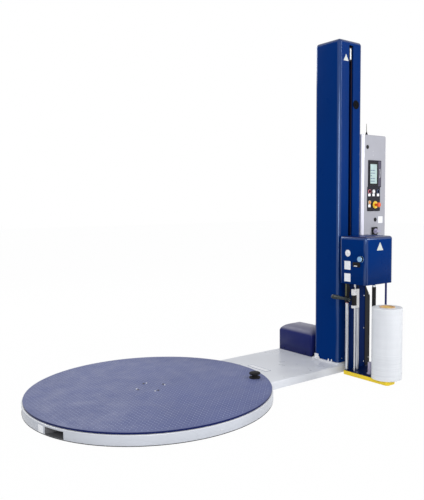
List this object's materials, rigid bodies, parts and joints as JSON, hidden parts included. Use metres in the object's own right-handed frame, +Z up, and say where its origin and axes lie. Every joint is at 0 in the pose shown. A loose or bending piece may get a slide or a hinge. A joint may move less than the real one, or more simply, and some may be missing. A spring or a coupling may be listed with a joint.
{
  "type": "turntable pallet wrapper",
  "caption": "Turntable pallet wrapper: low round turntable with fork pockets, bridge to a slotted mast, lifting stretch-film carriage and side control cabinet.",
  "frame": {"origin": "middle of the turntable at floor level, on the underside of the floor plate", "axes": "+X from the turntable to the mast, -Y the side with the film carriage, +Z up"},
  "size_m": [2.8645, 1.7575, 2.562],
  "materials": {
    "blue_paint": "gloss blue paint",
    "table_paint": "embossed blue paint",
    "grey_paint": "gloss light grey paint",
    "navy_plastic": "satin",
    "zinc_steel": "zinc plated",
    "dark_steel": "dark satin",
    "roller_aluminium": "anodised",
    "black_plastic": "satin",
    "black_rubber": "matt",
    "yellow_paint": "satin",
    "stretch_film": "clear film in many layers",
    "cardboard": "matt cardboard",
    "white_nylon": "satin",
    "red_plastic": "satin",
    "display_glass": "clear window",
    "white_plastic": "satin"
  },
  "bodies": {
    "base": {"floor_plate": "dark_steel", "base_ring": "grey_paint", "fork_pocket_left": "dark_steel", "fork_pocket_right": "dark_steel", "bridge_cover": "grey_paint", "bridge_frame": "dark_steel", "table_gearmotor": "dark_steel", "motor_cover": "navy_plastic", "drive_chain": "dark_steel", "mast_foot": "grey_paint", "mast_column": "blue_paint", "mast_cap": "blue_paint", "lift_gearmotor": "dark_steel", "idler_bracket": "zinc_steel", "lift_belt": "black_rubber", "control_cabinet": "grey_paint"},
    "turntable": {"turntable_plate": "table_paint", "turntable_hub": "zinc_steel", "table_sprocket": "dark_steel", "film_anchor": "black_plastic"},
    "support_wheel_1": {"support_wheel_1": "white_nylon"},
    "support_wheel_2": {"support_wheel_2": "white_nylon"},
    "support_wheel_3": {"support_wheel_3": "white_nylon"},
    "support_wheel_4": {"support_wheel_4": "white_nylon"},
    "motor_sprocket": {"motor_sprocket": "dark_steel"},
    "lift_pulley": {"lift_pulley": "zinc_steel"},
    "idler_pulley": {"idler_pulley": "zinc_steel"},
    "carriage": {"trolley": "zinc_steel", "carriage_tray": "blue_paint", "back_plate": "blue_paint", "side_guard": "black_plastic", "carriage_shelf": "zinc_steel", "carriage_hood": "blue_paint", "roll_mandrel": "black_plastic", "guide_rod": "zinc_steel", "corner_post": "navy_plastic", "roller_bracket": "zinc_steel", "roller_head": "black_plastic"},
    "guide_wheel_1": {"guide_wheel_1": "white_nylon"},
    "guide_wheel_2": {"guide_wheel_2": "white_nylon"},
    "guide_wheel_3": {"guide_wheel_3": "white_nylon"},
    "guide_wheel_4": {"guide_wheel_4": "white_nylon"},
    "safety_bumper": {"safety_bumper": "yellow_paint"},
    "film_spool": {"film_core": "cardboard", "film_roll": "stretch_film"},
    "idle_roller_1": {"idle_roller_1": "roller_aluminium"},
    "idle_roller_2": {"idle_roller_2": "roller_aluminium"},
    "rubber_roller": {"rubber_roller": "black_rubber"},
    "brake_lever": {"brake_lever": "black_plastic"},
    "tension_knob": {"tension_knob": "zinc_steel"},
    "door": {"cabinet_door": "grey_paint", "control_panel": "black_plastic", "display_screen": "display_glass", "main_switch_plate": "black_plastic"},
    "start_button": {"start_button": "white_plastic"},
    "stop_button": {"stop_button": "white_plastic"},
    "reset_button": {"reset_button": "white_plastic"},
    "cycle_button": {"cycle_button": "white_plastic"},
    "emergency_stop": {"emergency_stop": "red_plastic"},
    "main_switch": {"main_switch": "grey_paint"}
  },
  "joints": [
    {"name": "turntable_spin", "type": "hinge", "parent": "base", "child": "turntable", "pos_m": [0, 0, 0], "axis": [0, 0, 1], "continuous": true},
    {"name": "support_wheel_1_spin", "type": "hinge", "parent": "base", "child": "support_wheel_1", "pos_m": [0.4243, 0.4243, 0.0487], "axis": [0.7071, 0.7071, 0], "continuous": true},
    {"name": "support_wheel_2_spin", "type": "hinge", "parent": "base", "child": "support_wheel_2", "pos_m": [-0.4243, 0.4243, 0.0487], "axis": [-0.7071, 0.7071, 0], "continuous": true},
    {"name": "support_wheel_3_spin", "type": "hinge", "parent": "base", "child": "support_wheel_3", "pos_m": [-0.4243, -0.4243, 0.0487], "axis": [-0.7071, -0.7071, 0], "continuous": true},
    {"name": "support_wheel_4_spin", "type": "hinge", "parent": "base", "child": "support_wheel_4", "pos_m": [0.4243, -0.4243, 0.0487], "axis": [0.7071, -0.7071, 0], "continuous": true},
    {"name": "motor_sprocket_spin", "type": "hinge", "parent": "base", "child": "motor_sprocket", "pos_m": [1.5985, 0.13, 0.03], "axis": [0, 0, 1], "continuous": true},
    {"name": "carriage_lift", "type": "slide", "parent": "base", "child": "carriage", "axis": [0, 0, 1], "range_m": [0, 1.44]},
    {"name": "lift_pulley_spin", "type": "hinge", "parent": "base", "child": "lift_pulley", "pos_m": [1.5985, -0.215, 0.13], "axis": [1, 0, 0], "range_deg": [-2752, 0]},
    {"name": "idler_pulley_spin", "type": "hinge", "parent": "base", "child": "idler_pulley", "pos_m": [1.5985, -0.215, 2.449], "axis": [1, 0, 0], "range_deg": [-2752, 0]},
    {"name": "guide_wheel_1_spin", "type": "hinge", "parent": "carriage", "child": "guide_wheel_1", "pos_m": [1.529, -0.3315, 0.66], "axis": [1, 0, 0], "range_deg": [0, 3302]},
    {"name": "guide_wheel_2_spin", "type": "hinge", "parent": "carriage", "child": "guide_wheel_2", "pos_m": [1.668, -0.3315, 0.66], "axis": [1, 0, 0], "range_deg": [0, 3302]},
    {"name": "guide_wheel_3_spin", "type": "hinge", "parent": "carriage", "child": "guide_wheel_3", "pos_m": [1.529, -0.1305, 0.34], "axis": [1, 0, 0], "range_deg": [-3302, 0]},
    {"name": "guide_wheel_4_spin", "type": "hinge", "parent": "carriage", "child": "guide_wheel_4", "pos_m": [1.668, -0.1305, 0.34], "axis": [1, 0, 0], "range_deg": [-3302, 0]},
    {"name": "bumper_lift", "type": "slide", "parent": "carriage", "child": "safety_bumper", "axis": [0, 0, 1], "range_m": [0, 0.004], "stiffness_N_per_m": 800, "springref_m": -0.01},
    {"name": "film_spool_spin", "type": "hinge", "parent": "carriage", "child": "film_spool", "pos_m": [1.49, -0.815, 0.0475], "axis": [0, 0, 1], "continuous": true},
    {"name": "idle_roller_1_spin", "type": "hinge", "parent": "carriage", "child": "idle_roller_1", "pos_m": [1.446, -0.472, 0.051], "axis": [0, 0, 1], "continuous": true},
    {"name": "idle_roller_2_spin", "type": "hinge", "parent": "carriage", "child": "idle_roller_2", "pos_m": [1.5075, -0.521, 0.051], "axis": [0, 0, 1], "continuous": true},
    {"name": "rubber_roller_spin", "type": "hinge", "parent": "carriage", "child": "rubber_roller", "pos_m": [1.56, -0.636, 0.051], "axis": [0, 0, 1], "continuous": true},
    {"name": "brake_lever_turn", "type": "hinge", "parent": "carriage", "child": "brake_lever", "pos_m": [1.446, -0.4843, 0.59], "axis": [0, 1, 0], "range_deg": [-50, 0]},
    {"name": "tension_knob_turn", "type": "hinge", "parent": "carriage", "child": "tension_knob", "pos_m": [1.424, -0.626, 0.907], "axis": [-1, 0, 0], "range_deg": [-135, 135]},
    {"name": "door_hinge", "type": "hinge", "parent": "base", "child": "door", "pos_m": [2.0345, -0.352, 0.86], "axis": [0, 0, 1], "range_deg": [0, 110]},
    {"name": "start_button_press", "type": "slide", "parent": "door", "child": "start_button", "axis": [0, 1, 0], "range_m": [0, 0.003], "stiffness_N_per_m": 400},
    {"name": "stop_button_press", "type": "slide", "parent": "door", "child": "stop_button", "axis": [0, 1, 0], "range_m": [0, 0.003], "stiffness_N_per_m": 400},
    {"name": "reset_button_press", "type": "slide", "parent": "door", "child": "reset_button", "axis": [0, 1, 0], "range_m": [0, 0.003], "stiffness_N_per_m": 400},
    {"name": "cycle_button_press", "type": "slide", "parent": "door", "child": "cycle_button", "axis": [0, 1, 0], "range_m": [0, 0.003], "stiffness_N_per_m": 400},
    {"name": "emergency_stop_press", "type": "slide", "parent": "door", "child": "emergency_stop", "axis": [0, 1, 0], "range_m": [0, 0.0035], "stiffness_N_per_m": 1000},
    {"name": "main_switch_turn", "type": "hinge", "parent": "door", "child": "main_switch", "pos_m": [1.892, -0.3703, 1.09], "axis": [0, -1, 0], "range_deg": [0, 90]}
  ],
  "couplings": [
    {"joint": "support_wheel_1_spin", "follows": "turntable_spin", "ratio": -24.002},
    {"joint": "support_wheel_2_spin", "follows": "turntable_spin", "ratio": -24.002},
    {"joint": "support_wheel_3_spin", "follows": "turntable_spin", "ratio": -24.002},
    {"joint": "support_wheel_4_spin", "follows": "turntable_spin", "ratio": -24.002},
    {"joint": "motor_sprocket_spin", "follows": "turntable_spin", "ratio": 3},
    {"joint": "lift_pulley_spin", "follows": "carriage_lift", "rad_per_m": -33.333},
    {"joint": "idler_pulley_spin", "follows": "carriage_lift", "rad_per_m": -33.333},
    {"joint": "guide_wheel_1_spin", "follows": "carriage_lift", "rad_per_m": 40},
    {"joint": "guide_wheel_2_spin", "follows": "carriage_lift", "rad_per_m": 40},
    {"joint": "guide_wheel_3_spin", "follows": "carriage_lift", "rad_per_m": -40},
    {"joint": "guide_wheel_4_spin", "follows": "carriage_lift", "rad_per_m": -40}
  ]
}
